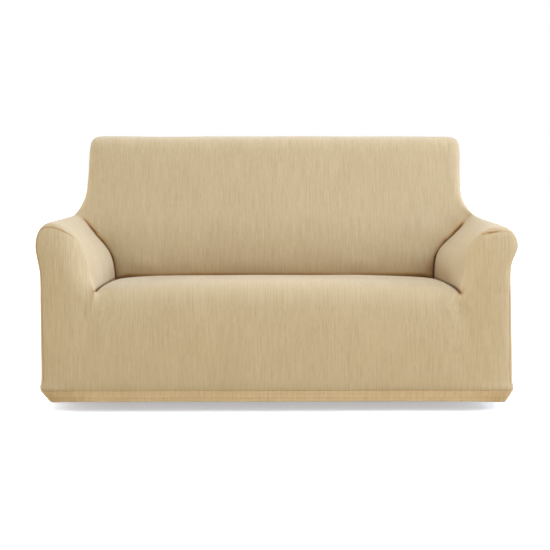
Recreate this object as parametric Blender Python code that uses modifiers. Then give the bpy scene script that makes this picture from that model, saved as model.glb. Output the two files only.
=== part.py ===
"""Stretch slipcover for a two-seat sofa: hollow, open underneath, shaped as it sits when fitted.

All lengths are metres. X runs across the sofa, Y from its front to its back and Z up. The tables and
functions count X from the middle, Y from the front and Z from the floor, and one empty then carries
every panel to the cover's own origin, at the mount under the top of the backrest.

The whole cover is first one thin shell, made from a coarse cage: a plan grid whose arms and backrest
are extruded upwards and whose rim is extruded down to the hem. Each cage point has a column (across),
a row (front to back) and a level (height). The shell is then cut into the panels that are sewn.
"""

import math
from collections import namedtuple

import bmesh
import bpy
from mathutils import Vector

CLOTH_THICKNESS = 0.002
SEAM_GAP = 0.0004
SHELL_SUBDIVISION = 1

# The cage counts columns from the middle, so both sides share one table.
TUCK_COLUMN = 4
SIDE_COLUMN = 7
TUCK_ROW = 5
SEAT_REAR_ROW = 4
REAR_ROW = 7
HEM_SEAM_LEVEL = 1
SEAT_LEVEL = 4
ARM_LEVEL = 7
TOP_LEVEL = 10

COLUMN_X = (0.0, 0.200, 0.400, 0.591, 0.607, 0.665, 0.725, 0.793)
ROW_Y = (0.0, 0.045, 0.170, 0.330, 0.450, 0.520, 0.680, 0.820)
LEVEL_Z = (0.031, 0.073, 0.092, 0.120, 0.400, 0.450, 0.530, 0.625, 0.699, 0.880, 0.939)

# The seat from its front roll to the tuck, where the cloth is pushed down behind the seat.
SeatRow = namedtuple("SeatRow", "y z")
SEAT_ROWS = (
    SeatRow(y=0.006, z=0.412),
    SeatRow(y=0.095, z=0.436),
    SeatRow(y=0.220, z=0.437),
    SeatRow(y=0.370, z=0.431),
    SeatRow(y=0.483, z=0.420),
    SeatRow(y=0.512, z=0.390),
)
SEAT_SIDE_FALL = 0.015
SIDE_TUCK_Z = 0.402
# How deep the arm's rear edge is tucked beside the backrest, by level.
ARM_TUCK_DEPTH = {4: 0.018, 5: 0.018, 6: 0.014, 7: 0.006}
SEAT_REAR_CREASE = 0.45
# How sharply the arm meets the backrest over its top, by the edge's inner column.
OVER_ARM_CREASE = {4: 0.80, 5: 0.50, 6: 0.35}
PUCKER_Y = 0.008
# How high the tucks end at their front, on the left and on the right side, and how much further out
# the right one ends.
PUCKER_Z = (0.406, 0.394)
RIGHT_TUCK_REACH = 0.014
# How far the inner front edge of an arm is turned back, by level.
ARM_EDGE_TURN = {5: 0.045, 6: 0.038, 7: 0.016}
# How far the front of an arm leans back towards its top, by level.
ARM_FRONT_LEAN = {6: 0.003, 7: 0.018}
# How far in the right arm's rear edge lies from where the left one does, by column and level.
RIGHT_ARM_DRAW = {(4, 5): 0.004, (4, 6): 0.012, (4, 7): -0.002, (5, 7): -0.010, (7, 7): 0.006}

# The arm's outline at its front and where it runs into the backrest. The cloth over the right arm's
# top sits lower, and is drawn in more under the roll.
ArmKnot = namedtuple("ArmKnot", "column level front_x front_z rear_x rear_z right_dx right_dz")
ARM_KNOTS = (
    ArmKnot(7, 4, 0.793, 0.400, 0.793, 0.400, 0.000, 0.000),
    ArmKnot(7, 5, 0.790, 0.480, 0.785, 0.465, -0.007, 0.030),
    ArmKnot(7, 6, 0.817, 0.560, 0.785, 0.550, 0.009, -0.006),
    ArmKnot(7, 7, 0.792, 0.624, 0.775, 0.638, 0.000, -0.010),
    ArmKnot(6, 7, 0.748, 0.641, 0.748, 0.646, -0.002, -0.022),
    ArmKnot(5, 7, 0.696, 0.617, 0.712, 0.610, 0.000, -0.004),
    ArmKnot(4, 7, 0.659, 0.583, 0.678, 0.568, 0.000, 0.000),
    ArmKnot(4, 6, 0.634, 0.515, 0.616, 0.515, 0.004, 0.000),
    ArmKnot(4, 5, 0.618, 0.450, 0.593, 0.455, 0.008, 0.000),
    ArmKnot(4, 4, 0.607, 0.406, 0.607, 0.398, 0.014, -0.012),
)

# The backrest's half width and its front and rear faces, by level, and how much closer the cloth
# sits on the right.
BackLevel = namedtuple("BackLevel", "half_width front_y rear_y right_draw")
BACK_LEVELS = {
    4: BackLevel(0.793, 0.514, 0.805, 0.000),
    5: BackLevel(0.790, 0.507, 0.808, 0.000),
    6: BackLevel(0.786, 0.511, 0.811, 0.000),
    7: BackLevel(0.777, 0.530, 0.815, 0.010),
    8: BackLevel(0.724, 0.553, 0.820, 0.012),
    9: BackLevel(0.721, 0.598, 0.826, -0.005),
    10: BackLevel(0.714, 0.622, 0.832, -0.005),
}
BACK_CROWN = 0.016
TOP_CREST = 0.006

# How far the elastic draws the hem in, by level, along the sides and at the corners of the left and
# of the right side. The hem hangs a little lower at its corners.
HEM_DRAW = {0: 0.010, 1: 0.002, 2: 0.000}
HEM_CORNER_DRAW = {0: (0.020, 0.012), 1: (-0.014, -0.013), 2: (-0.002, 0.000)}
HEM_CORNER_REACH = 0.140
HEM_CORNER_DROP = 0.007
# How much further out the skirt stands on the right.
RIGHT_SKIRT_FLARE = 0.008

# The underside of the cloth over the top of the backrest, midway across.
MOUNT_Y = 0.725
MOUNT_Z = 0.940

# A face centre this near a column, row or level lies in its plane.
NEAR = 0.1

PANEL_NAMES = (
    "front_and_seat",
    "arm_panel_left",
    "arm_panel_right",
    "inner_back_panel",
    "outer_back_panel",
    "hem_band",
)
FRONT, ARM_LEFT, ARM_RIGHT, INNER_BACK, OUTER_BACK, HEM = range(len(PANEL_NAMES))
BEIGE = (0.560, 0.445, 0.265)
HEM_BEIGE = (0.560, 0.420, 0.245)
PANEL_COLOURS = (BEIGE, BEIGE, BEIGE, BEIGE, BEIGE, HEM_BEIGE)


def between(start, end, share):
    return start + (end - start) * share


def seat_point(column, row, on_right):
    """The seat deck, its front roll and the tucks beside and behind it."""
    seat_row = SEAT_ROWS[row]
    x = COLUMN_X[column]
    if on_right and column >= TUCK_COLUMN - 1:
        x += between(RIGHT_TUCK_REACH, 0.002, row / TUCK_ROW)
    if column == TUCK_COLUMN and row == 0:
        return Vector((x, PUCKER_Y, PUCKER_Z[on_right]))
    if column == TUCK_COLUMN:
        tuck_z = between(SIDE_TUCK_Z, seat_row.z, 0.5) if row == TUCK_ROW else SIDE_TUCK_Z
        return Vector((x, ROW_Y[row] if row < TUCK_ROW else seat_row.y, tuck_z))
    if row == TUCK_ROW:
        return Vector((x, seat_row.y, seat_row.z))
    fall = SEAT_SIDE_FALL * (column / TUCK_COLUMN) ** 2
    return Vector((x, seat_row.y, seat_row.z - fall))


def arm_outline(column, level, on_right):
    """One knot of the arm's outline, at its front and at its rear."""
    knot = next(knot for knot in ARM_KNOTS if (knot.column, knot.level) == (column, level))
    front = Vector((knot.front_x, 0.0, knot.front_z))
    rear = Vector((knot.rear_x, 0.0, knot.rear_z))
    if on_right:
        front += Vector((knot.right_dx, 0.0, knot.right_dz))
        rear.x -= RIGHT_ARM_DRAW.get((column, level), 0.0)
    return front, rear


def arm_point(column, row, level, on_right):
    """The arm, blended from its front outline to where it meets the backrest."""
    if level == ARM_LEVEL or column in (TUCK_COLUMN, SIDE_COLUMN):
        front, rear = arm_outline(column, level, on_right)
    else:
        inner = arm_outline(TUCK_COLUMN, level, on_right)[0]
        outer = arm_outline(SIDE_COLUMN, level, on_right)[0]
        front = inner.lerp(outer, (column - TUCK_COLUMN) / (SIDE_COLUMN - TUCK_COLUMN))
        rear = front
    point = front.lerp(rear, row / TUCK_ROW)
    point.y = ROW_Y[row]
    if row == TUCK_ROW and column < SIDE_COLUMN:
        point.y = back_front_y(point.z)
    if row == TUCK_ROW and column == TUCK_COLUMN:
        point.x += ARM_TUCK_DEPTH[level]
        point.y += ARM_TUCK_DEPTH[level]
    if row <= 1 and column == TUCK_COLUMN:
        point.y += ARM_EDGE_TURN.get(level, 0.0)
    if row == 0:
        point.y += ARM_FRONT_LEAN.get(level, 0.0)
    return point


def back_front_y(height):
    """Y of the backrest's front face at a height, between the levels of its table."""
    levels = sorted(BACK_LEVELS)
    for low, high in zip(levels, levels[1:]):
        if height <= LEVEL_Z[high]:
            share = (height - LEVEL_Z[low]) / (LEVEL_Z[high] - LEVEL_Z[low])
            return between(BACK_LEVELS[low].front_y, BACK_LEVELS[high].front_y, share)
    return BACK_LEVELS[TOP_LEVEL].front_y


def back_point(column, row, level, on_right):
    """The backrest: crowned front face, rounded top, sides and plain rear."""
    back = BACK_LEVELS[level]
    share = COLUMN_X[column] / COLUMN_X[SIDE_COLUMN]
    depth_share = (ROW_Y[row] - ROW_Y[TUCK_ROW]) / (ROW_Y[REAR_ROW] - ROW_Y[TUCK_ROW])
    y = between(back.front_y, back.rear_y, depth_share)
    if row == TUCK_ROW:
        y -= BACK_CROWN * (1.0 - share ** 2) * math.sin(math.pi * (level - SEAT_LEVEL)
                                                       / (TOP_LEVEL - SEAT_LEVEL))
    z = LEVEL_Z[level]
    if level == TOP_LEVEL and row not in (TUCK_ROW, REAR_ROW):
        z += TOP_CREST
    half_width = back.half_width - (back.right_draw if on_right else 0.0)
    return Vector((half_width * share, y, z))


def skirt_point(column, row, level, on_right):
    """The outer wall below the seat, drawn in at the hem."""
    x = COLUMN_X[column]
    y = ROW_Y[row] if row < REAR_ROW else BACK_LEVELS[SEAT_LEVEL].rear_y
    to_side = COLUMN_X[SIDE_COLUMN] - x
    to_end = min(y, BACK_LEVELS[SEAT_LEVEL].rear_y - y)
    draw = HEM_DRAW.get(level, 0.0)
    corner = max(0.0, 1.0 - (to_side + to_end) / HEM_CORNER_REACH)
    z = LEVEL_Z[level]
    if level == 0:
        z -= HEM_CORNER_DROP * corner
    draw += HEM_CORNER_DRAW.get(level, (0.0, 0.0))[on_right] * corner
    if column == SIDE_COLUMN:
        x += (RIGHT_SKIRT_FLARE if on_right else 0.0) - draw
    if row == 0:
        y += draw
    if row == REAR_ROW:
        y -= draw
    return Vector((x, y, z))


def cage_point(column, row, level):
    """The real place of one cage point."""
    across = abs(column)
    on_right = column > 0
    if level < SEAT_LEVEL:
        point = skirt_point(across, row, level, on_right)
    elif row > TUCK_ROW or (row == TUCK_ROW and level > ARM_LEVEL):
        point = back_point(across, row, level, on_right)
    elif row == TUCK_ROW and across < TUCK_COLUMN and level > SEAT_LEVEL:
        point = back_point(across, row, level, on_right)
    elif level == SEAT_LEVEL and across <= TUCK_COLUMN:
        point = seat_point(across, row, on_right)
    else:
        point = arm_point(across, row, level, on_right)
    if column < 0:
        point.x = -point.x
    return point


def is_raised(centre, level):
    """True for a flat cell at a level that the backrest, or lower down an arm, rises from."""
    in_arm = abs(centre.x) > TUCK_COLUMN and level < ARM_LEVEL
    return abs(centre.z - level) < NEAR and (in_arm or centre.y > TUCK_ROW)


def raise_faces(cage, level):
    """Extrude the arms and the backrest one level up, and drop the cells they came from."""
    cells = [face for face in cage.faces if is_raised(face.calc_center_median(), level)]
    raised = bmesh.ops.extrude_face_region(cage, geom=cells)["geom"]
    bmesh.ops.delete(cage, geom=cells, context="FACES")
    points = [item for item in raised if isinstance(item, bmesh.types.BMVert)]
    bmesh.ops.translate(cage, verts=points, vec=(0.0, 0.0, 1.0))


def lower_rim(cage):
    """Extrude the open rim one level down."""
    rim = [edge for edge in cage.edges if edge.is_boundary]
    lowered = bmesh.ops.extrude_edge_only(cage, edges=rim)["geom"]
    points = [item for item in lowered if isinstance(item, bmesh.types.BMVert)]
    bmesh.ops.translate(cage, verts=points, vec=(0.0, 0.0, -1.0))


def panel_of(centre):
    """Which panel a cage face belongs to, from its centre in columns, rows and levels."""
    between_arms = abs(centre.x) < TUCK_COLUMN - NEAR
    if centre.z < HEM_SEAM_LEVEL:
        return HEM
    if centre.y > REAR_ROW - NEAR:
        return OUTER_BACK
    if centre.y < NEAR:
        return FRONT
    if between_arms and centre.y < TUCK_ROW - NEAR:
        return FRONT
    if between_arms or centre.z > ARM_LEVEL + NEAR:
        return INNER_BACK
    return ARM_LEFT if centre.x < 0.0 else ARM_RIGHT


def crease_of(start, end):
    """How sharp a cage edge is: the tucks are sharp, the turns over the arms and the seat softer."""
    def on_crease(place):
        across, row, level = abs(place[0]), place[1], place[2]
        beside_seat = across == TUCK_COLUMN and level == SEAT_LEVEL and row <= TUCK_ROW
        behind_seat = across <= TUCK_COLUMN and level == SEAT_LEVEL and row == TUCK_ROW
        up_the_back = across == TUCK_COLUMN and row == TUCK_ROW and level <= ARM_LEVEL
        over_the_arm = across >= TUCK_COLUMN and row == TUCK_ROW and level == ARM_LEVEL
        seat_rear = across < TUCK_COLUMN and row == SEAT_REAR_ROW and level == SEAT_LEVEL
        return beside_seat, behind_seat, up_the_back, over_the_arm, seat_rear
    over_arm = OVER_ARM_CREASE.get(min(abs(start[0]), abs(end[0])), 0.0)
    sharpness = (1.0, 1.0, 1.0, over_arm, SEAT_REAR_CREASE)
    both = [a and b for a, b in zip(on_crease(start), on_crease(end))]
    return max(share for share, along in zip((*sharpness, 0.0), (*both, True)) if along)


def build_cage():
    """The coarse cage of the whole cover, with a material number for each panel."""
    cage = bmesh.new()
    bmesh.ops.create_grid(cage, x_segments=2 * SIDE_COLUMN, y_segments=REAR_ROW, size=1.0)
    bmesh.ops.scale(cage, verts=cage.verts, vec=(SIDE_COLUMN, REAR_ROW / 2, 1.0))
    bmesh.ops.translate(cage, verts=cage.verts, vec=(0.0, REAR_ROW / 2, SEAT_LEVEL))
    for level in range(SEAT_LEVEL, TOP_LEVEL):
        raise_faces(cage, level)
    for _ in range(SEAT_LEVEL):
        lower_rim(cage)
    bmesh.ops.recalc_face_normals(cage, faces=cage.faces)
    creases = cage.edges.layers.float.new("crease_edge")
    places = {point: tuple(round(number) for number in point.co) for point in cage.verts}
    for edge in cage.edges:
        edge[creases] = crease_of(*(places[point] for point in edge.verts))
    for face in cage.faces:
        face.material_index = panel_of(face.calc_center_median())
    for point, place in places.items():
        point.co = cage_point(*place)
    return cage


def build_shell(collection):
    """The cover as one cloth shell, kept as a hidden guide that the panels are cut from."""
    cage = build_cage()
    mesh = bpy.data.meshes.new("whole_shell")
    cage.to_mesh(mesh)
    cage.free()
    for name in PANEL_NAMES:
        mesh.materials.append(bpy.data.materials[name])
    shell = bpy.data.objects.new("whole_shell", mesh)
    collection.objects.link(shell)
    shell.hide_render = True
    shell.display_type = "WIRE"
    smooth = shell.modifiers.new("soft_form", "SUBSURF")
    smooth.levels = SHELL_SUBDIVISION
    smooth.render_levels = SHELL_SUBDIVISION
    cloth = shell.modifiers.new("cloth", "SOLIDIFY")
    cloth.thickness = CLOTH_THICKNESS
    cloth.offset = -1.0
    cloth.use_even_offset = True
    return shell


def cut_panel(number, shell_mesh, collection, frame):
    """Keep one panel's faces of the shell, trim half a seam gap off and close its edge."""
    name = PANEL_NAMES[number]
    panel = bmesh.new()
    panel.from_mesh(shell_mesh)
    others = [face for face in panel.faces if face.material_index != number]
    bmesh.ops.delete(panel, geom=others, context="FACES")
    kept = list(panel.faces)
    trimmed = bmesh.ops.inset_region(panel, faces=kept, thickness=SEAM_GAP / 2, use_boundary=True,
                                     use_even_offset=True)
    bmesh.ops.delete(panel, geom=trimmed["faces"], context="FACES")
    rim = [edge for edge in panel.edges if edge.is_boundary]
    edge_faces = bmesh.ops.bridge_loops(panel, edges=rim)["faces"]
    # Both panels at a seam split their twisted edge faces the same way, so that they can't cross.
    bmesh.ops.triangulate(panel, faces=edge_faces, quad_method="SHORT_EDGE")
    bmesh.ops.recalc_face_normals(panel, faces=panel.faces)
    for face in panel.faces:
        face.material_index = 0
        face.smooth = True
    mesh = bpy.data.meshes.new(name)
    panel.to_mesh(mesh)
    panel.free()
    mesh.materials.append(bpy.data.materials[name])
    piece = bpy.data.objects.new(name, mesh)
    piece.parent = frame
    collection.objects.link(piece)
    return piece


def add_cloth_material(name, colour):
    material = bpy.data.materials.new(name)
    material.use_nodes = True
    shader = material.node_tree.nodes["Principled BSDF"]
    shader.inputs["Base Color"].default_value = (*colour, 1.0)
    shader.inputs["Roughness"].default_value = 0.9
    shader.inputs["Metallic"].default_value = 0.0
    return material


def clear_scene():
    for item in list(bpy.data.objects):
        bpy.data.objects.remove(item, do_unlink=True)


def main():
    clear_scene()
    parts = bpy.data.collections.new("sofa_slipcover")
    guides = bpy.data.collections.new("guides")
    for collection in (parts, guides):
        bpy.context.scene.collection.children.link(collection)
    for name, colour in zip(PANEL_NAMES, PANEL_COLOURS):
        add_cloth_material(name, colour)
    frame = bpy.data.objects.new("cover_frame", None)
    frame.location = (0.0, -MOUNT_Y, -MOUNT_Z)
    parts.objects.link(frame)
    shell = build_shell(guides)
    bpy.context.view_layer.update()
    depsgraph = bpy.context.evaluated_depsgraph_get()
    shell_mesh = bpy.data.meshes.new_from_object(shell.evaluated_get(depsgraph))
    for number in range(len(PANEL_NAMES)):
        cut_panel(number, shell_mesh, parts, frame)
    bpy.data.meshes.remove(shell_mesh)


main()
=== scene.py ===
"""Looks of the stretch sofa slipcover: its sewn panels of ribbed knit, its folds and its elastic hem.

All lengths are metres. The cage counts columns from the middle, rows from the front and levels from
the hem, and its tables measure X from the middle, Y from the front and Z from the floor. The finished
pieces are moved to the cover's own origin, at the mount under the top of the backrest.
"""

import math
from collections import namedtuple

import bmesh
import bpy
import numpy as np
from bpy.props import FloatProperty, FloatVectorProperty, IntProperty, PointerProperty
from mathutils import Matrix, Vector
from mathutils.kdtree import KDTree


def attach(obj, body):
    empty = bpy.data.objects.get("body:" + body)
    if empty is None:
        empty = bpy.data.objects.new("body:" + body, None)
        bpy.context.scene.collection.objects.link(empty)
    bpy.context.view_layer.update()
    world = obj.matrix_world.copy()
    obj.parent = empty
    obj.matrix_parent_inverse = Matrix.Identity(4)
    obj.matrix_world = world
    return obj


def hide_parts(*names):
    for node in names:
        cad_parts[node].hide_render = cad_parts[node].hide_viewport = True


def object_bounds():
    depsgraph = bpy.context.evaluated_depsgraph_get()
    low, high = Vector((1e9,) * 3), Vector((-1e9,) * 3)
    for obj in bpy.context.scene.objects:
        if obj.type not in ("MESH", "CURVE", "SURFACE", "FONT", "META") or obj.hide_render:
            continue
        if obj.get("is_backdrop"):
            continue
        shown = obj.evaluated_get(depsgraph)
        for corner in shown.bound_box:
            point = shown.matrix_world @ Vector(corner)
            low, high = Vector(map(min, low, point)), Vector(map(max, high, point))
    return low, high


bl_info = {
    "name": "Sofa slipcover",
    "version": (1, 0, 0),
    "blender": (4, 5, 0),
    "location": "View3D > Sidebar > Slipcover",
    "description": "Builds a fitted stretch slipcover for a two-seat sofa, panel by panel",
    "category": "Add Mesh",
}

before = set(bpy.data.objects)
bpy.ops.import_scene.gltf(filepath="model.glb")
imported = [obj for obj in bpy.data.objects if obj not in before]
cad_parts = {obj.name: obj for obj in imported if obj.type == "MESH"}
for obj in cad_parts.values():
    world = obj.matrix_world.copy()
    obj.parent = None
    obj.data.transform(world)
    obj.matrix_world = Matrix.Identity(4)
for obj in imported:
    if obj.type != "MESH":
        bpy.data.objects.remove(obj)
CAD_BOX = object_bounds()

# ---- the cage

TUCK_COLUMN = 4
SIDE_COLUMN = 7
TUCK_ROW = 5
SEAT_REAR_ROW = 4
REAR_ROW = 7
HEM_SEAM_LEVEL = 1
SEAT_LEVEL = 4
ARM_LEVEL = 7
TOP_LEVEL = 10

COLUMN_X = (0.0, 0.200, 0.400, 0.591, 0.607, 0.665, 0.725, 0.793)
ROW_Y = (0.0, 0.045, 0.170, 0.330, 0.450, 0.520, 0.680, 0.820)
LEVEL_Z = (0.031, 0.073, 0.092, 0.120, 0.400, 0.450, 0.530, 0.625, 0.699, 0.880, 0.939)

# The seat from its front roll to the tuck, where the cloth is pushed down behind the seat.
SeatRow = namedtuple("SeatRow", "y z")
SEAT_ROWS = (
    SeatRow(y=0.006, z=0.412),
    SeatRow(y=0.095, z=0.436),
    SeatRow(y=0.220, z=0.437),
    SeatRow(y=0.400, z=0.4255),
    SeatRow(y=0.511, z=0.4150),
    SeatRow(y=0.538, z=0.350),
)
SEAT_SIDE_FALL = 0.015
SIDE_TUCK_Z = 0.396
# How deep the arm's rear edge is tucked beside the backrest, by level.
ARM_TUCK_DEPTH = {4: 0.018, 5: 0.018, 6: 0.014, 7: 0.006}
SEAT_REAR_CREASE = 0.45
# How sharply the arm meets the backrest over its top, by the edge's inner column.
OVER_ARM_CREASE = {4: 0.80, 5: 0.50, 6: 0.35}
# Where the tucks end at their front, how high on the left and on the right side, and how pinched.
PUCKER_Y = 0.018
PUCKER_Z = (0.406, 0.394)
PUCKER_PINCH = 0.8
# How much further out the right tuck lies, at its front and at its rear.
RIGHT_TUCK_REACH = (0.014, 0.002)
# How far the inner front edge of an arm is turned back, by level.
ARM_EDGE_TURN = {5: 0.045, 6: 0.038, 7: 0.016}
# How far the front of an arm leans back towards its top, by level.
ARM_FRONT_LEAN = {6: 0.003, 7: 0.018}
# How far in the right arm's rear edge lies from where the left one does, by column and level.
RIGHT_ARM_DRAW = {(4, 5): 0.004, (4, 6): 0.012, (4, 7): -0.002, (5, 7): -0.010, (7, 7): 0.006}

# The arm's outline at its front and where it runs into the backrest, and how the right arm's front
# differs.
ArmKnot = namedtuple("ArmKnot", "column level front_x front_z rear_x rear_z right_dx right_dz")
ARM_KNOTS = (
    ArmKnot(7, 4, 0.793, 0.400, 0.793, 0.400, 0.000, 0.000),
    ArmKnot(7, 5, 0.790, 0.480, 0.785, 0.465, -0.007, 0.030),
    ArmKnot(7, 6, 0.817, 0.560, 0.785, 0.550, 0.009, -0.006),
    ArmKnot(7, 7, 0.792, 0.624, 0.775, 0.638, 0.000, -0.010),
    ArmKnot(6, 7, 0.748, 0.641, 0.748, 0.646, -0.002, -0.022),
    ArmKnot(5, 7, 0.696, 0.617, 0.712, 0.610, 0.000, -0.004),
    ArmKnot(4, 7, 0.659, 0.583, 0.678, 0.568, 0.000, 0.000),
    ArmKnot(4, 6, 0.634, 0.515, 0.616, 0.515, 0.004, 0.000),
    ArmKnot(4, 5, 0.618, 0.450, 0.593, 0.455, 0.008, 0.000),
    ArmKnot(4, 4, 0.607, 0.406, 0.607, 0.398, 0.014, -0.012),
)

# The backrest's half width and its front and rear faces, and how much closer the cloth sits on the
# right.
BackLevel = namedtuple("BackLevel", "half_width front_y rear_y right_draw")
BACK_LEVELS = {
    4: BackLevel(0.793, 0.514, 0.805, 0.000),
    5: BackLevel(0.790, 0.507, 0.808, 0.000),
    6: BackLevel(0.786, 0.511, 0.811, 0.000),
    7: BackLevel(0.777, 0.530, 0.815, 0.010),
    8: BackLevel(0.724, 0.553, 0.820, 0.012),
    9: BackLevel(0.721, 0.598, 0.826, -0.005),
    10: BackLevel(0.714, 0.622, 0.832, -0.005),
}
BACK_CROWN = 0.016
TOP_CREST = 0.006

# How far the elastic draws the hem in, by level, along the sides and at the corners of the left and
# of the right side. The hem hangs a little lower at its corners.
HEM_DRAW = {0: 0.010, 1: 0.002, 2: 0.000}
HEM_CORNER_DRAW = {0: (0.020, 0.012), 1: (-0.014, -0.013), 2: (-0.002, 0.000)}
HEM_CORNER_REACH = 0.140
HEM_CORNER_DROP = 0.007
# How much further out the skirt stands on the right.
RIGHT_SKIRT_FLARE = 0.008

MOUNT_Y = 0.725
MOUNT_Z = 0.940
TO_ORIGIN = Vector((0.0, -MOUNT_Y, -MOUNT_Z))

# A face centre this near a column, row or level lies in its plane.
NEAR = 0.1

PANEL_NAMES = (
    "front_and_seat",
    "arm_panel_left",
    "arm_panel_right",
    "inner_back_panel",
    "outer_back_panel",
    "hem_band",
)
FRONT, ARM_LEFT, ARM_RIGHT, INNER_BACK, OUTER_BACK, HEM = range(len(PANEL_NAMES))

SHELL_NAME = "whole_cover"
NORMAL_NAME = "whole_normal"
FLOW_MAP = "cloth_flow"
# How far apart the hem's front and rear lie on the flat cloth.
REAR_FLOW = 2.0


def between(start, end, share):
    return start + (end - start) * share


def seat_point(column, row, on_right):
    """The seat deck, its front roll and the tucks beside and behind it."""
    seat_row = SEAT_ROWS[row]
    x = COLUMN_X[column]
    if on_right and column >= TUCK_COLUMN - 1:
        x += between(*RIGHT_TUCK_REACH, row / TUCK_ROW)
    if column == TUCK_COLUMN and row == 0:
        return Vector((x, PUCKER_Y, PUCKER_Z[on_right]))
    if column == TUCK_COLUMN:
        tuck_z = between(SIDE_TUCK_Z, seat_row.z, 0.5) if row == TUCK_ROW else SIDE_TUCK_Z
        return Vector((x, ROW_Y[row] if row < TUCK_ROW else seat_row.y, tuck_z))
    if row == TUCK_ROW:
        return Vector((x, seat_row.y, seat_row.z))
    fall = SEAT_SIDE_FALL * (column / TUCK_COLUMN) ** 2
    return Vector((x, seat_row.y, seat_row.z - fall))


def arm_outline(column, level, on_right):
    """One knot of the arm's outline, at its front and at its rear."""
    knot = next(knot for knot in ARM_KNOTS if (knot.column, knot.level) == (column, level))
    front = Vector((knot.front_x, 0.0, knot.front_z))
    rear = Vector((knot.rear_x, 0.0, knot.rear_z))
    if on_right:
        front += Vector((knot.right_dx, 0.0, knot.right_dz))
        rear.x -= RIGHT_ARM_DRAW.get((column, level), 0.0)
    return front, rear


def arm_point(column, row, level, on_right):
    """The arm, blended from its front outline to where it meets the backrest."""
    if level == ARM_LEVEL or column in (TUCK_COLUMN, SIDE_COLUMN):
        front, rear = arm_outline(column, level, on_right)
    else:
        inner = arm_outline(TUCK_COLUMN, level, on_right)[0]
        outer = arm_outline(SIDE_COLUMN, level, on_right)[0]
        front = inner.lerp(outer, (column - TUCK_COLUMN) / (SIDE_COLUMN - TUCK_COLUMN))
        rear = front
    point = front.lerp(rear, row / TUCK_ROW)
    point.y = ROW_Y[row]
    if row == TUCK_ROW and column < SIDE_COLUMN:
        point.y = back_front_y(point.z)
    if row == TUCK_ROW and column == TUCK_COLUMN:
        point.x += ARM_TUCK_DEPTH[level]
        point.y += ARM_TUCK_DEPTH[level]
    if row <= 1 and column == TUCK_COLUMN:
        point.y += ARM_EDGE_TURN.get(level, 0.0)
    if row == 0:
        point.y += ARM_FRONT_LEAN.get(level, 0.0)
    return point


def back_front_y(height):
    """Y of the backrest's front face at a height, between the levels of its table."""
    levels = sorted(BACK_LEVELS)
    for low, high in zip(levels, levels[1:]):
        if height <= LEVEL_Z[high]:
            share = (height - LEVEL_Z[low]) / (LEVEL_Z[high] - LEVEL_Z[low])
            return between(BACK_LEVELS[low].front_y, BACK_LEVELS[high].front_y, share)
    return BACK_LEVELS[TOP_LEVEL].front_y


def back_point(column, row, level, on_right):
    """The backrest: crowned front face, rounded top, sides and plain rear."""
    back = BACK_LEVELS[level]
    share = COLUMN_X[column] / COLUMN_X[SIDE_COLUMN]
    depth_share = (ROW_Y[row] - ROW_Y[TUCK_ROW]) / (ROW_Y[REAR_ROW] - ROW_Y[TUCK_ROW])
    y = between(back.front_y, back.rear_y, depth_share)
    if row == TUCK_ROW:
        y -= BACK_CROWN * (1.0 - share ** 2) * math.sin(math.pi * (level - SEAT_LEVEL)
                                                       / (TOP_LEVEL - SEAT_LEVEL))
    z = LEVEL_Z[level]
    if level == TOP_LEVEL and row not in (TUCK_ROW, REAR_ROW):
        z += TOP_CREST
    half_width = back.half_width - (back.right_draw if on_right else 0.0)
    return Vector((half_width * share, y, z))


def skirt_point(column, row, level, on_right):
    """The outer wall below the seat, drawn in at the hem."""
    x = COLUMN_X[column]
    y = ROW_Y[row] if row < REAR_ROW else BACK_LEVELS[SEAT_LEVEL].rear_y
    to_side = COLUMN_X[SIDE_COLUMN] - x
    to_end = min(y, BACK_LEVELS[SEAT_LEVEL].rear_y - y)
    draw = HEM_DRAW.get(level, 0.0)
    corner = max(0.0, 1.0 - (to_side + to_end) / HEM_CORNER_REACH)
    z = LEVEL_Z[level]
    if level == 0:
        z -= HEM_CORNER_DROP * corner
    draw += HEM_CORNER_DRAW.get(level, (0.0, 0.0))[on_right] * corner
    if column == SIDE_COLUMN:
        x += (RIGHT_SKIRT_FLARE if on_right else 0.0) - draw
    if row == 0:
        y += draw
    if row == REAR_ROW:
        y -= draw
    return Vector((x, y, z))


def cage_point(column, row, level):
    """The real place of one cage point."""
    across = abs(column)
    on_right = column > 0
    if level < SEAT_LEVEL:
        point = skirt_point(across, row, level, on_right)
    elif row > TUCK_ROW or (row == TUCK_ROW and level > ARM_LEVEL):
        point = back_point(across, row, level, on_right)
    elif row == TUCK_ROW and across < TUCK_COLUMN and level > SEAT_LEVEL:
        point = back_point(across, row, level, on_right)
    elif level == SEAT_LEVEL and across <= TUCK_COLUMN:
        point = seat_point(across, row, on_right)
    else:
        point = arm_point(across, row, level, on_right)
    if column < 0:
        point.x = -point.x
    return point


def is_raised(centre, level):
    """True for a flat cell at a level that the backrest, or lower down an arm, rises from."""
    in_arm = abs(centre.x) > TUCK_COLUMN and level < ARM_LEVEL
    return abs(centre.z - level) < NEAR and (in_arm or centre.y > TUCK_ROW)


def raise_faces(cage, level):
    """Extrude the arms and the backrest one level up, and drop the cells they came from."""
    cells = [face for face in cage.faces if is_raised(face.calc_center_median(), level)]
    raised = bmesh.ops.extrude_face_region(cage, geom=cells)["geom"]
    bmesh.ops.delete(cage, geom=cells, context="FACES")
    points = [item for item in raised if isinstance(item, bmesh.types.BMVert)]
    bmesh.ops.translate(cage, verts=points, vec=(0.0, 0.0, 1.0))


def lower_rim(cage):
    """Extrude the open rim one level down."""
    rim = [edge for edge in cage.edges if edge.is_boundary]
    lowered = bmesh.ops.extrude_edge_only(cage, edges=rim)["geom"]
    points = [item for item in lowered if isinstance(item, bmesh.types.BMVert)]
    bmesh.ops.translate(cage, verts=points, vec=(0.0, 0.0, -1.0))


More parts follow.
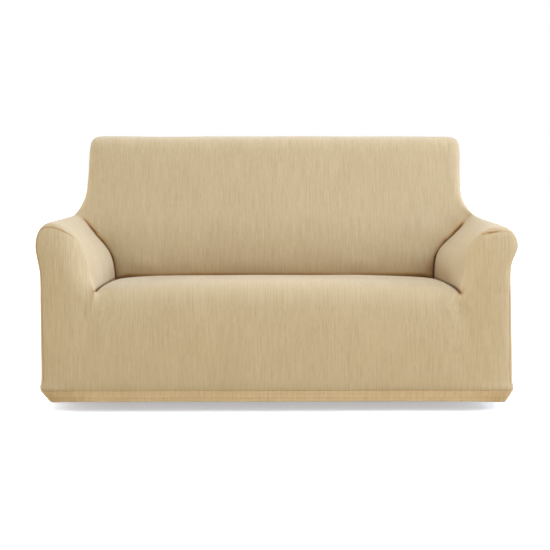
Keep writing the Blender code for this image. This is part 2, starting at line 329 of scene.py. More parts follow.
def panel_of(centre):
    """Which panel a cage face belongs to, from its centre in columns, rows and levels."""
    between_arms = abs(centre.x) < TUCK_COLUMN - NEAR
    if centre.z < HEM_SEAM_LEVEL:
        return HEM
    if centre.y > REAR_ROW - NEAR:
        return OUTER_BACK
    if centre.y < NEAR:
        return FRONT
    if between_arms and centre.y < TUCK_ROW - NEAR:
        return FRONT
    if between_arms or centre.z > ARM_LEVEL + NEAR:
        return INNER_BACK
    return ARM_LEFT if centre.x < 0.0 else ARM_RIGHT


def crease_of(start, end):
    """How sharp a cage edge is: the tucks are sharp, the turns over the arms and the seat softer."""
    def on_crease(place):
        across, row, level = abs(place[0]), place[1], place[2]
        beside_seat = across == TUCK_COLUMN and level == SEAT_LEVEL and row <= TUCK_ROW
        behind_seat = across <= TUCK_COLUMN and level == SEAT_LEVEL and row == TUCK_ROW
        up_the_back = across == TUCK_COLUMN and row == TUCK_ROW and level <= ARM_LEVEL
        over_the_arm = across >= TUCK_COLUMN and row == TUCK_ROW and level == ARM_LEVEL
        seat_rear = across < TUCK_COLUMN and row == SEAT_REAR_ROW and level == SEAT_LEVEL
        return beside_seat, behind_seat, up_the_back, over_the_arm, seat_rear
    over_arm = OVER_ARM_CREASE.get(min(abs(start[0]), abs(end[0])), 0.0)
    sharpness = (1.0, 1.0, 1.0, over_arm, SEAT_REAR_CREASE)
    both = [a and b for a, b in zip(on_crease(start), on_crease(end))]
    return max(share for share, along in zip((*sharpness, 0.0), (*both, True)) if along)


# ---- how the cloth runs

# Columns and levels over an arm, from the hem up its side and down to the seat.
ARM_PROFILE = ((7, 0), (7, 1), (7, 2), (7, 3), (7, 4), (7, 5), (7, 6), (7, 7),
               (6, 7), (5, 7), (4, 7), (4, 6), (4, 5), (4, 4))


def arm_girths():
    """Distance over the arm from the hem, up its side, over its roll and down to the seat."""
    girths = {}
    distance = 0.0
    last = None
    for column, level in ARM_PROFILE:
        point = cage_point(column, 1, level)
        distance += (point - last).length if last else point.z
        girths[(column, level)] = distance
        last = point
    return girths


def cloth_flow(place, centre, panel, girths):
    """Where a cage point lies on the flat cloth: U across the ribs and V along them."""
    column, row, level = place
    point = cage_point(*place)
    side = 1.0 if centre.x > 0.0 else -1.0
    if panel in (ARM_LEFT, ARM_RIGHT):
        return point.y, girths[(abs(column), level)]
    if panel == HEM:
        if centre.y < NEAR:
            return point.x, point.z
        if centre.y > REAR_ROW - NEAR:
            return REAR_FLOW - point.x, point.z
        return side * (COLUMN_X[SIDE_COLUMN] + point.y), point.z
    if panel == FRONT and centre.y > NEAR:
        return point.x, PUCKER_Z[0] + ROW_Y[row]
    on_side = abs(centre.x) > SIDE_COLUMN - NEAR
    on_top = centre.z > TOP_LEVEL - NEAR
    if panel == INNER_BACK and on_side:
        behind = point.y - BACK_LEVELS[level].front_y
        return side * (BACK_LEVELS[level].half_width + behind), point.z
    if panel == INNER_BACK and on_top:
        return point.x, LEVEL_Z[TOP_LEVEL] + point.y - BACK_LEVELS[TOP_LEVEL].front_y
    return point.x, point.z


def build_cage():
    """The coarse cage of the whole cover, with a material number for each panel."""
    cage = bmesh.new()
    bmesh.ops.create_grid(cage, x_segments=2 * SIDE_COLUMN, y_segments=REAR_ROW, size=1.0)
    bmesh.ops.scale(cage, verts=cage.verts, vec=(SIDE_COLUMN, REAR_ROW / 2, 1.0))
    bmesh.ops.translate(cage, verts=cage.verts, vec=(0.0, REAR_ROW / 2, SEAT_LEVEL))
    for level in range(SEAT_LEVEL, TOP_LEVEL):
        raise_faces(cage, level)
    for _ in range(SEAT_LEVEL):
        lower_rim(cage)
    bmesh.ops.recalc_face_normals(cage, faces=cage.faces)
    creases = cage.edges.layers.float.new("crease_edge")
    pinches = cage.verts.layers.float.new("crease_vert")
    flow = cage.loops.layers.uv.new(FLOW_MAP)
    places = {point: tuple(round(number) for number in point.co) for point in cage.verts}
    girths = arm_girths()
    for point, place in places.items():
        if abs(place[0]) == TUCK_COLUMN and place[1:] == (0, SEAT_LEVEL):
            point[pinches] = PUCKER_PINCH
    for edge in cage.edges:
        edge[creases] = crease_of(*(places[point] for point in edge.verts))
    for face in cage.faces:
        centre = face.calc_center_median()
        face.material_index = panel_of(centre)
        face.smooth = True
        for corner in face.loops:
            corner[flow].uv = cloth_flow(places[corner.vert], centre, face.material_index, girths)
    for point, place in places.items():
        point.co = cage_point(*place)
    return cage


# ---- folds and creases

# A trough (negative height) or ridge along a line, in metres from the middle, front and floor.
# It fades at the ends: start_fade and end_fade are the shares of its length that this takes.
Fold = namedtuple("Fold", "line width height start_fade end_fade")

PUCKER_LEFT = Vector((-0.607, 0.004, 0.405))
PUCKER_RIGHT = Vector((0.621, 0.004, 0.394))

# Tension folds that leave a pucker: turn in degrees from straight out, length, width and height.
PuckerFold = namedtuple("PuckerFold", "turn length width height")
LEFT_PUCKER_FOLDS = (
    PuckerFold(-158, 0.070, 0.0060, -0.0030),
    PuckerFold(-128, 0.105, 0.0080, 0.0032),
    PuckerFold(-100, 0.085, 0.0070, -0.0034),
    PuckerFold(-74, 0.130, 0.0085, 0.0034),
    PuckerFold(-48, 0.075, 0.0065, -0.0026),
    PuckerFold(-20, 0.095, 0.0080, 0.0022),
    PuckerFold(14, 0.060, 0.0060, -0.0020),
)
RIGHT_PUCKER_FOLDS = (
    PuckerFold(-150, 0.080, 0.0065, -0.0026),
    PuckerFold(-118, 0.070, 0.0070, 0.0026),
    PuckerFold(-88, 0.110, 0.0080, -0.0028),
    PuckerFold(-56, 0.095, 0.0095, 0.0046),
    PuckerFold(-30, 0.085, 0.0065, -0.0032),
    PuckerFold(-6, 0.070, 0.0065, 0.0020),
)
# Two wrinkles that pinch the cloth where it turns over the right arm, and the ridge between them.
RIGHT_WRINKLES = (
    ((0.682, 0.0346, 0.5936), (0.699, 0.0245, 0.5977), (0.728, 0.0199, 0.6027),
     (0.757, 0.0198, 0.6066)),
    ((0.6995, 0.0399, 0.608), (0.720, 0.0284, 0.6121), (0.746, 0.0263, 0.6149)),
)
RIGHT_RIDGE = ((0.692, 0.0333, 0.6015), (0.718, 0.0237, 0.606), (0.752, 0.0225, 0.611))

FOLDS = (
    # the front, below the puckers
    Fold(((-0.640, 0.0, 0.390), (-0.655, 0.0, 0.150)), 0.030, -0.0035, 0.2, 0.6),
    Fold(((-0.585, 0.0, 0.385), (-0.600, 0.0, 0.130)), 0.026, 0.0030, 0.2, 0.6),
    Fold(((0.640, 0.0, 0.385), (0.665, 0.0, 0.170)), 0.032, -0.0025, 0.2, 0.6),
    Fold(((0.590, 0.0, 0.380), (0.610, 0.0, 0.160)), 0.026, 0.0022, 0.2, 0.6),
    # the foot of the backrest, where the cloth is drawn into the crease
    Fold(((-0.560, 0.500, 0.460), (-0.400, 0.490, 0.448)), 0.030, 0.0036, 0.4, 0.4),
    Fold(((-0.330, 0.495, 0.470), (-0.160, 0.488, 0.455)), 0.034, -0.0030, 0.4, 0.4),
    Fold(((-0.210, 0.490, 0.452), (0.020, 0.486, 0.462)), 0.030, 0.0030, 0.4, 0.4),
    Fold(((0.060, 0.486, 0.468), (0.240, 0.490, 0.452)), 0.032, -0.0026, 0.4, 0.4),
    Fold(((0.230, 0.490, 0.455), (0.420, 0.495, 0.466)), 0.030, 0.0034, 0.4, 0.4),
    Fold(((0.400, 0.495, 0.480), (0.560, 0.500, 0.450)), 0.032, -0.0024, 0.4, 0.4),
    # the roll of the right arm, pinched where the cloth turns over it
    Fold(RIGHT_WRINKLES[0], 0.0050, -0.0040, 0.35, 0.3),
    Fold(RIGHT_WRINKLES[1], 0.0048, -0.0030, 0.4, 0.4),
    Fold(RIGHT_RIDGE, 0.0050, 0.0026, 0.4, 0.4),
    # the inner sides of the arms, drawn down towards the seat
    Fold(((-0.632, 0.100, 0.520), (-0.614, 0.060, 0.425)), 0.020, -0.0030, 0.5, 0.3),
    Fold(((-0.640, 0.260, 0.530), (-0.616, 0.300, 0.420)), 0.026, 0.0030, 0.5, 0.3),
    Fold(((0.632, 0.110, 0.515), (0.614, 0.050, 0.425)), 0.018, -0.0032, 0.5, 0.3),
    Fold(((0.640, 0.280, 0.530), (0.616, 0.320, 0.420)), 0.026, 0.0030, 0.5, 0.3),
    # the outer sides, from the backrest down to the hem
    Fold(((-0.786, 0.600, 0.600), (-0.792, 0.420, 0.200)), 0.040, -0.0040, 0.4, 0.5),
    Fold(((-0.786, 0.470, 0.600), (-0.792, 0.300, 0.260)), 0.034, 0.0034, 0.4, 0.5),
    Fold(((0.786, 0.590, 0.600), (0.792, 0.400, 0.220)), 0.040, -0.0040, 0.4, 0.5),
    Fold(((0.786, 0.450, 0.600), (0.792, 0.290, 0.280)), 0.034, 0.0034, 0.4, 0.5),
    # the plain rear, slack between its two side seams
    Fold(((-0.640, 0.820, 0.700), (-0.120, 0.815, 0.470)), 0.050, -0.0040, 0.4, 0.5),
    Fold(((0.640, 0.820, 0.720), (0.180, 0.815, 0.520)), 0.050, -0.0036, 0.4, 0.5),
    Fold(((-0.560, 0.820, 0.300), (0.060, 0.815, 0.230)), 0.060, 0.0036, 0.4, 0.5),
    Fold(((0.580, 0.820, 0.260), (0.120, 0.815, 0.360)), 0.055, 0.0034, 0.4, 0.5),
)

# Painted shade in and beside the tucks and wrinkles and over the seat's rear: where the shade is weak the
# cloth gets a warm painted tint, and where it is strong a painted dark brown.
Shade = namedtuple("Shade", "line width strength start_fade end_fade")
SHADES = (
    # behind the seat
    Shade(((-0.602, 0.525, 0.394), (-0.550, 0.525, 0.408), (-0.300, 0.525, 0.414), (0.300, 0.525, 0.414)),
          0.0128, 0.95, 0.0, 0.0),
    Shade(((0.300, 0.525, 0.414), (0.550, 0.525, 0.408), (0.602, 0.525, 0.394)), 0.0140, 0.96, 0.0, 0.0),
    # up beside the backrest
    Shade(((-0.609, 0.537, 0.395), (-0.620, 0.527, 0.480), (-0.657, 0.526, 0.540)), 0.0095, 0.93, 0.0, 0.0),
    Shade(((-0.657, 0.526, 0.540), (-0.687, 0.526, 0.580), (-0.736, 0.532, 0.634)), 0.0070, 0.90, 0.0, 0.25),
    Shade(((0.608, 0.537, 0.395), (0.612, 0.527, 0.480), (0.653, 0.525, 0.540)), 0.0110, 0.97, 0.0, 0.0),
    Shade(((0.653, 0.525, 0.540), (0.691, 0.525, 0.580), (0.727, 0.528, 0.622)), 0.0068, 0.95, 0.0, 0.30),
    # beside the seat, on the foot of each arm
    Shade(((-0.609, 0.016, 0.405), (-0.608, 0.510, 0.403)), 0.0056, 0.96, 0.08, 0.0),
    Shade(((0.622, 0.016, 0.397), (0.617, 0.120, 0.405), (0.611, 0.510, 0.405)), 0.0066, 0.98, 0.04, 0.0),
    # painted shade over the seat's rear half, and in two pinched wrinkles over the right arm
    Shade(((-0.560, 0.465, 0.421), (0.560, 0.465, 0.421)), 0.050, 0.12, 0.05, 0.05),
    Shade(((-0.480, 0.300, 0.434), (0.380, 0.300, 0.434)), 0.170, 0.13, 0.15, 0.30),
    Shade(RIGHT_WRINKLES[0], 0.0032, 0.66, 0.20, 0.35),
    Shade(RIGHT_WRINKLES[1], 0.0029, 0.50, 0.30, 0.40),
    # the backrest's foot, and the rear of each arm's foot
    Shade(((-0.590, 0.536, 0.434), (0.590, 0.536, 0.434)), 0.034, 0.20, 0.05, 0.05),
    Shade(((-0.612, 0.300, 0.425), (-0.613, 0.520, 0.435)), 0.024, 0.16, 0.5, 0.0),
    Shade(((0.613, 0.120, 0.425), (0.614, 0.520, 0.435)), 0.034, 0.22, 0.3, 0.0),
    # the deep corners of the backrest
    Shade(((-0.600, 0.520, 0.405), (-0.604, 0.520, 0.440)), 0.026, 0.16, 0.0, 0.0),
    Shade(((0.598, 0.520, 0.405), (0.602, 0.520, 0.450)), 0.030, 0.30, 0.0, 0.0),
)
SHADE_NAME = "tuck_shade"

# How dark a seam is, how far from it the shade and the dip fade, and how much of both the hem's
# seam, below this height, keeps.
SEAM_SHADE = 0.30
SEAM_SHADE_WIDTH = 0.0025
SEAM_DIP_WIDTH = 0.009
HEM_SEAM_TOP = 0.10
HEM_SEAM_SHARE = 0.35
# An arm's seams lie flat at its inner front edge. They come up over these stretches: outwards, and
# less so on the right, backwards and downwards.
SEAM_OUTWARDS = (0.655, 0.700)
SEAM_BACKWARDS = (0.060, 0.140)
SEAM_DOWNWARDS = (0.425, 0.405)
RIGHT_SEAM_SHARE = 0.35
# The seam over an arm's top is nearly flat beside the backrest, between the heights over which that
# starts and ends.
ARM_TOP_Y = 0.530
ARM_TOP_REACH = 0.060
ARM_TOP_START = (0.590, 0.610)
ARM_TOP_END = (0.700, 0.680)
ARM_TOP_FLATNESS = 0.85

PUCKER_FOLD_START = 0.006
PUCKER_FOLD_FADES = (0.06, 0.8)


def pucker_folds(centre, folds, mirrored):
    """The folds that run out of one pucker, over the front and the seat's roll."""
    for fold in folds:
        turn = math.radians(fold.turn)
        out = Vector((math.cos(turn), 0.0, math.sin(turn)))
        if mirrored:
            out.x = -out.x
        line = (centre + out * PUCKER_FOLD_START, centre + out * fold.length)
        yield Fold(line, fold.width, fold.height, *PUCKER_FOLD_FADES)


def ramp(values, start, end):
    """From 0 at the start to 1 at the end."""
    return np.clip((values - start) / (end - start), 0.0, 1.0)


def bump(values, width):
    """1 where the values are 0, falling off smoothly over a width."""
    return np.exp(-((values / width) ** 2))


def fade(share, start_fade, end_fade):
    """Full height along the middle of a fold and none at the ends that fade."""
    rise = np.ones(len(share))
    if start_fade:
        rise *= ramp(share, 0.0, start_fade)
    if end_fade:
        rise *= ramp(share, 1.0, 1.0 - end_fade)
    return rise * rise * (3.0 - 2.0 * rise)


def nearest_on_line(points, line):
    """How far each point is from a bent line, and where along it the nearest place is, from 0 to 1."""
    stops = np.array(line)
    runs = np.diff(stops, axis=0)
    lengths = np.linalg.norm(runs, axis=1)
    distance = np.full(len(points), np.inf)
    travelled = np.zeros(len(points))
    for start, run, length, before in zip(stops, runs, lengths, np.cumsum(lengths) - lengths):
        share = np.clip((points - start) @ run / length ** 2, 0.0, 1.0)
        gap = np.linalg.norm(points - start - share[:, None] * run, axis=1)
        travelled = np.where(gap < distance, before + share * length, travelled)
        distance = np.minimum(distance, gap)
    return distance, travelled / lengths.sum()


def fold_height(points, fold):
    """How far one fold lifts each point of the cloth."""
    distance, share = nearest_on_line(points, fold.line)
    return fold.height * bump(distance, fold.width) * fade(share, fold.start_fade, fold.end_fade)


# Long waves that run slantwise through the cover: X, Y and Z rates and a start.
SLACK_WAVES = (
    ((11.0, 3.1, 7.3), 0.4),
    ((5.2, 8.4, 12.1), 2.2),
    ((17.3, 6.0, 4.1), 4.0),
    ((8.1, 14.2, 9.4), 1.1),
)


def slack_height(points, height):
    """Broad uneven slackness over the whole cover, about a hand wide."""
    waves = [np.sin(points @ np.array(rates) + start) for rates, start in SLACK_WAVES]
    return height * sum(waves) / len(waves)


HEM_STITCH_LEVELS = (0.042, 0.057)
HEM_CHANNEL_DEPTH = 0.0007
HEM_CHANNEL_WIDTH = 0.0036
GATHER_REACH = 0.030
# Gathers along the hem: their share and rate, and how far and how often they wander.
GatherWave = namedtuple("GatherWave", "share rate wander wander_rate")
GATHER_WAVES = (GatherWave(1.0, 330.0, 2.1, 23.0), GatherWave(0.6, 211.0, 1.4, 31.0))


def hem_gather(points, flow, height):
    """Small upright gathers where the elastic draws the cloth in, and the two sewn channels."""
    u = flow[:, 0]
    wave = sum(
        gather.share * np.sin(u * gather.rate + gather.wander * np.sin(u * gather.wander_rate))
        for gather in GATHER_WAVES
    )
    near_seam = bump(points[:, 2] - LEVEL_Z[HEM_SEAM_LEVEL], GATHER_REACH)
    channel = sum(bump(points[:, 2] - level, HEM_CHANNEL_WIDTH) for level in HEM_STITCH_LEVELS)
    return height * wave * near_seam * (1.0 - channel) - HEM_CHANNEL_DEPTH * channel


# ---- the whole cover as one fine sheet

def put_object(name, data):
    """A new object in the scene."""
    item = bpy.data.objects.new(name, data)
    bpy.context.scene.collection.objects.link(item)
    return item


def fine_cover(sizes):
    """The whole cover as one smooth, folded sheet, kept as a mesh that the panels are cut from."""
    mesh = bpy.data.meshes.get(SHELL_NAME)
    if mesh:
        return mesh
    cage = build_cage()
    coarse = bpy.data.meshes.new("cover_cage")
    cage.to_mesh(coarse)
    cage.free()
    for name in PANEL_NAMES:
        coarse.materials.append(bpy.data.materials.new(name + "_mark"))
    guide = put_object("cover_guide", coarse)
    smooth = guide.modifiers.new("soft_form", "SUBSURF")
    smooth.levels = sizes.fineness
    smooth.render_levels = sizes.fineness
    bpy.context.view_layer.update()
    depsgraph = bpy.context.evaluated_depsgraph_get()
    mesh = bpy.data.meshes.new_from_object(guide.evaluated_get(depsgraph))
    mesh.name = SHELL_NAME
    bpy.data.objects.remove(guide)
    bpy.data.meshes.remove(coarse)
    fold_cloth(mesh, sizes)
    return mesh


def seam_distance(mesh, points):
    """How far each point is from where two panels meet."""
    panels = {}
    for face in mesh.polygons:
        for index in face.vertices:
            panels.setdefault(index, set()).add(face.material_index)
    shared = [index for index, numbers in panels.items() if len(numbers) > 1]
    tree = KDTree(len(shared))
    for index in shared:
        tree.insert(mesh.vertices[index].co, index)
    tree.balance()
    return np.array([tree.find(point)[2] for point in points])


def seam_share(points):
    """How much a seam shows: fully, but for the inner front edge of each arm and over its top."""
    x, y, z = points.T
    outwards = ramp(np.abs(x), *SEAM_OUTWARDS) * np.where(x > 0.0, RIGHT_SEAM_SHARE, 1.0)
    shown = np.maximum(np.maximum(outwards, ramp(y, *SEAM_BACKWARDS)), ramp(z, *SEAM_DOWNWARDS))
    at_back = np.clip(1.0 - np.abs(y - ARM_TOP_Y) / ARM_TOP_REACH, 0.0, 1.0)
    arm_top = at_back * ramp(z, *ARM_TOP_START) * ramp(z, *ARM_TOP_END)
    return shown * (1.0 - ARM_TOP_FLATNESS * arm_top)


def point_flow(mesh):
    """The flat place of each point of the fine sheet, from one of its corners."""
    corners = len(mesh.loops)
    flow = np.empty(corners * 2)
    mesh.uv_layers[FLOW_MAP].data.foreach_get("uv", flow)
    points = np.empty(corners, dtype=np.int64)
    mesh.loops.foreach_get("vertex_index", points)
    result = np.zeros((len(mesh.vertices), 2))
    result[points] = flow.reshape(-1, 2)
    return result


def read_vectors(items, field):
    """Three numbers of each item, as rows."""
    values = np.empty(len(items) * 3)
    items.foreach_get(field, values)
    return values.reshape(-1, 3)


def fold_cloth(mesh, sizes):
    """Raise and lower the fine sheet along its folds, seams and gathers."""
    points = read_vectors(mesh.vertices, "co")
    lift = slack_height(points, sizes.slack_height)
    folds = list(FOLDS)
    folds += pucker_folds(PUCKER_LEFT, LEFT_PUCKER_FOLDS, True)
    folds += pucker_folds(PUCKER_RIGHT, RIGHT_PUCKER_FOLDS, False)
    for fold in folds:
        lift += sizes.fold_share * fold_height(points, fold)
    distance = seam_distance(mesh, points)
    pinch = seam_share(points) * np.where(points[:, 2] < HEM_SEAM_TOP, HEM_SEAM_SHARE, 1.0)
    lift -= sizes.seam_depth * pinch * bump(distance, SEAM_DIP_WIDTH)
    lift += hem_gather(points, point_flow(mesh), sizes.gather_height)
    points += read_vectors(mesh.vertex_normals, "vector") * lift[:, None]
    # The darkening along the seams, and the painted shade along the lines of SHADES, kept for the knit to
    # read.
    shade = SEAM_SHADE * pinch * bump(distance, SEAM_SHADE_WIDTH)
    for line in SHADES:
        shade = np.maximum(shade, fold_height(points, Fold(*line)))
    mesh.attributes.new(SHADE_NAME, "FLOAT", "POINT").data.foreach_set("value", shade)
    mesh.vertices.foreach_set("co", (points + np.array(TO_ORIGIN)).ravel())
    mesh.update()
    normals = read_vectors(mesh.vertex_normals, "vector")
    kept_normals = mesh.attributes.new(NORMAL_NAME, "FLOAT_VECTOR", "POINT")
    kept_normals.data.foreach_set("vector", normals.ravel())


# ---- knit materials

# Where a Mix node has its share and its two colours among its inputs, and the mixed colour among
# its outputs.
MIX_INPUTS = (0, 6, 7)
MIXED_COLOUR = 2


def add_node(nodes, kind, place, **values):
    node = nodes.new(kind)
    node.location = place
    for name, value in values.items():
        setattr(node, name, value)
    return node


def set_inputs(node, values):
    """Set a node's plain inputs by their names."""
    for name, value in values.items():
        node.inputs[name].default_value = value


def feed(tree, socket, value):
    """Link an output to an input, or set the input to a plain value."""
    if isinstance(value, bpy.types.NodeSocket):
        tree.links.new(value, socket)
    else:
        socket.default_value = value


def math_node(tree, operation, place, *values):
    """A Math node fed by links or plain numbers."""
    node = add_node(tree.nodes, "ShaderNodeMath", place, operation=operation)
    for socket, value in zip(node.inputs, values):
        feed(tree, socket, value)
    return node.outputs[0]


def mix_colours(tree, place, share, first, second, blend="MIX"):
    """A Mix node between two colours, fed by links or plain values."""
    node = add_node(tree.nodes, "ShaderNodeMix", place, data_type="RGBA", blend_type=blend)
    for index, value in zip(MIX_INPUTS, (share, first, second)):
        feed(tree, node.inputs[index], value)
    return node.outputs[MIXED_COLOUR]


def new_material(name):
    """A material, with its node tree and the shader in it."""
    material = bpy.data.materials.new(name)
    material.use_nodes = True
    return material, material.node_tree, material.node_tree.nodes["Principled BSDF"]


# Streaks in the yarn: changes per metre across and along the ribs, and where they start.
Streaks = namedtuple("Streaks", "across along start")
LONG_STREAKS = Streaks(170.0, 9.0, 3.1)
SHORT_STREAKS = Streaks(310.0, 34.0, 7.7)
DRIFT = Streaks(9.0, 4.0, 1.9)
START_SLANT = 0.7
LONG_SHARE = 0.55
SHORT_SHARE = 0.45
DRIFT_SHARE = 0.2
MIDDLE_TONE = 0.5


def streak_noise(tree, flow, streaks, place):
    """Noise that is drawn out along the ribs."""
    stretch = add_node(tree.nodes, "ShaderNodeMapping", place)
    set_inputs(stretch, {
        "Scale": (streaks.across, streaks.along, 1.0),
        "Location": (streaks.start, streaks.start * START_SLANT, 0.0),
    })
    tree.links.new(flow, stretch.inputs["Vector"])
    noise = add_node(tree.nodes, "ShaderNodeTexNoise", (place[0] + 200, place[1]), noise_dimensions="2D")
    set_inputs(noise, {"Scale": 1.0, "Detail": 2.0, "Roughness": 0.6})
    tree.links.new(stretch.outputs["Vector"], noise.inputs["Vector"])
    return noise.outputs["Fac"]


# Painted shade: beside a tuck the yarn is multiplied by a warm painted tint, which comes up fast with the
# shade. Deep in the tuck it turns to a painted dark brown, which only comes up past a start.
PAINTED_WARM_SHADE_TINT = (0.86, 0.64, 0.42, 1.0)
PAINTED_WARM_SHADE_GAIN = 2.5
PAINTED_DARK_SHADE_COLOUR = (0.100, 0.038, 0.004, 1.0)
PAINTED_DARK_SHADE_GAIN = 1.4
PAINTED_DARK_SHADE_START = 0.4

# The knit's relief: how far its ribs wander, its loops along them, and the share of each in its height.
RIB_WANDER = 0.006
LOOPS_PER_METRE = 420.0
RIB_RELIEF = 0.30
LOOP_RELIEF = 0.10
STREAK_RELIEF = 0.9

KNIT_INPUTS = {
    "Flow": "NodeSocketVector",
    "Streak Contrast": "NodeSocketFloat",
    "Ribs Per Metre": "NodeSocketFloat",
    "Dark Yarn": "NodeSocketColor",
    "Light Yarn": "NodeSocketColor",
    "Tuck Shade": "NodeSocketFloat",
}
KNIT_OUTPUTS = {"Color": "NodeSocketColor", "Height": "NodeSocketFloat"}


def strie_knit_group():
    """Fine uneven upright ribs of two mixed yarns, with painted shade: warmer beside a tuck, dark deep in
    it.
    """
    group = bpy.data.node_groups.get("strie_knit")
    if group:
        return group
    group = bpy.data.node_groups.new("strie_knit", "ShaderNodeTree")
    for direction, sockets in (("INPUT", KNIT_INPUTS), ("OUTPUT", KNIT_OUTPUTS)):
        for name, kind in sockets.items():
            group.interface.new_socket(name, in_out=direction, socket_type=kind)
    given = add_node(group.nodes, "NodeGroupInput", (-1000, 0)).outputs
    result = add_node(group.nodes, "NodeGroupOutput", (900, 0)).inputs

    long_streaks = streak_noise(group, given["Flow"], LONG_STREAKS, (-800, 300))
    short_streaks = streak_noise(group, given["Flow"], SHORT_STREAKS, (-800, 0))
    drift = streak_noise(group, given["Flow"], DRIFT, (-800, -300))
    mixed = math_node(group, "MULTIPLY", (-300, 200), long_streaks, LONG_SHARE)
    fine = math_node(group, "MULTIPLY", (-300, 0), short_streaks, SHORT_SHARE)
    streaks = math_node(group, "ADD", (-100, 150), mixed, fine)
    centred = math_node(group, "SUBTRACT", (50, 150), streaks, MIDDLE_TONE)
    strong = math_node(group, "MULTIPLY", (200, 150), centred, given["Streak Contrast"])
    uneven = math_node(group, "SUBTRACT", (-100, -100), drift, MIDDLE_TONE)
    broad = math_node(group, "MULTIPLY", (50, -100), uneven, DRIFT_SHARE)
    varied = math_node(group, "ADD", (300, 150), strong, broad)
    tone = math_node(group, "ADD", (400, 100), varied, MIDDLE_TONE)
    yarn = mix_colours(group, (550, 200), tone, given["Dark Yarn"], given["Light Yarn"])

    # Painted shade: a warm painted tint where the shade is weak, a painted dark brown where it is strong.
    shade = given["Tuck Shade"]
    warm = math_node(group, "MULTIPLY", (450, 400), shade, PAINTED_WARM_SHADE_GAIN)
    warmed = mix_colours(group, (640, 200), warm, yarn, PAINTED_WARM_SHADE_TINT, "MULTIPLY")
    risen = math_node(group, "MULTIPLY", (450, 500), shade, PAINTED_DARK_SHADE_GAIN)
    deep = math_node(group, "SUBTRACT", (600, 500), risen, PAINTED_DARK_SHADE_START)
    feed(group, result["Color"], mix_colours(group, (760, 200), deep, warmed, PAINTED_DARK_SHADE_COLOUR))

    split = add_node(group.nodes, "ShaderNodeSeparateXYZ", (-800, -600))
    group.links.new(given["Flow"], split.inputs["Vector"])
    wander = math_node(group, "MULTIPLY", (-500, -450), long_streaks, RIB_WANDER)
    across = math_node(group, "ADD", (-350, -550), split.outputs["X"], wander)
    turns = math_node(group, "MULTIPLY", (-200, -550), across, given["Ribs Per Metre"])
    rib_angle = math_node(group, "MULTIPLY", (-50, -550), turns, math.tau)
    loop_angle = math_node(group, "MULTIPLY", (-50, -750), split.outputs["Y"], math.tau * LOOPS_PER_METRE)
    ribs = math_node(group, "SINE", (100, -550), rib_angle)
    loops = math_node(group, "SINE", (100, -750), loop_angle)
    rib_height = math_node(group, "MULTIPLY", (250, -550), ribs, RIB_RELIEF)
    loop_height = math_node(group, "MULTIPLY", (250, -750), loops, LOOP_RELIEF)
    streak_height = math_node(group, "MULTIPLY", (450, -350), streaks, STREAK_RELIEF)
    relief = math_node(group, "ADD", (400, -600), rib_height, loop_height)
    feed(group, result["Height"], math_node(group, "ADD", (600, -400), relief, streak_height))
    return group


KNIT_FINISH = {
    "Roughness": 0.85,
    "Specular IOR Level": 0.3,
    "Sheen Weight": 0.25,
    "Sheen Roughness": 0.45,
    "Sheen Tint": (1.0, 0.95, 0.87, 1.0),
}


def knit_material(name, dark, light, sizes):
    """Ribbed knit between a dark and a light yarn, with a faint bloom at grazing angles."""
    material, tree, shader = new_material(name)
    set_inputs(shader, KNIT_FINISH)
    flow = add_node(tree.nodes, "ShaderNodeUVMap", (-900, 0), uv_map=FLOW_MAP)
    # The seam darkening and painted shade that fold_cloth keeps on the points.
    shade = add_node(tree.nodes, "ShaderNodeAttribute", (-900, -250), attribute_name=SHADE_NAME)
    knit = add_node(tree.nodes, "ShaderNodeGroup", (-700, 0), node_tree=strie_knit_group())
    set_inputs(knit, {
        "Streak Contrast": sizes.streak_contrast,
        "Ribs Per Metre": 1.0 / sizes.rib_pitch,
        "Dark Yarn": (*dark, 1.0),
        "Light Yarn": (*light, 1.0),
    })
    relief = add_node(tree.nodes, "ShaderNodeBump", (-300, -300))
    set_inputs(relief, {"Strength": 1.0, "Distance": sizes.rib_height})
    tree.links.new(flow.outputs["UV"], knit.inputs["Flow"])
    tree.links.new(shade.outputs["Fac"], knit.inputs["Tuck Shade"])
    tree.links.new(knit.outputs["Color"], shader.inputs["Base Color"])
    tree.links.new(knit.outputs["Height"], relief.inputs["Height"])
    tree.links.new(relief.outputs["Normal"], shader.inputs["Normal"])
    return material


# ---- cutting the panels

def cut_panel(number, sizes, material):
    """Cut one panel out of the fine cover, turn its edges under and give it the cloth's thickness."""
    name = PANEL_NAMES[number]
    panel = bmesh.new()
    panel.from_mesh(fine_cover(sizes))
    others = [face for face in panel.faces if face.material_index != number]
    bmesh.ops.delete(panel, geom=others, context="FACES")
    bmesh.ops.inset_region(panel, faces=list(panel.faces), thickness=sizes.edge_turn,
                           use_boundary=True, use_even_offset=True, depth=0.0)
    rim = list({point for edge in panel.edges if edge.is_boundary for point in edge.verts})
    shares = seam_share(np.array([point.co - TO_ORIGIN for point in rim]))
    inwards = panel.verts.layers.float_vector[NORMAL_NAME]
    for point, share in zip(rim, shares):
        point.co -= point[inwards] * sizes.edge_turn * float(share)
    panel.verts.layers.float_vector.remove(inwards)
    for face in panel.faces:
        face.material_index = 0
        face.smooth = True
    mesh = bpy.data.meshes.new("visual_" + name)
    panel.to_mesh(mesh)
    panel.free()
    mesh.materials.append(material)
    piece = put_object("visual_" + name, mesh)
    cloth = piece.modifiers.new("cloth", "SOLIDIFY")
    cloth.thickness = sizes.cloth_thickness
    cloth.offset = -1.0
    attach(piece, "root")
    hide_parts(name)
    return piece


# ---- what a user may change

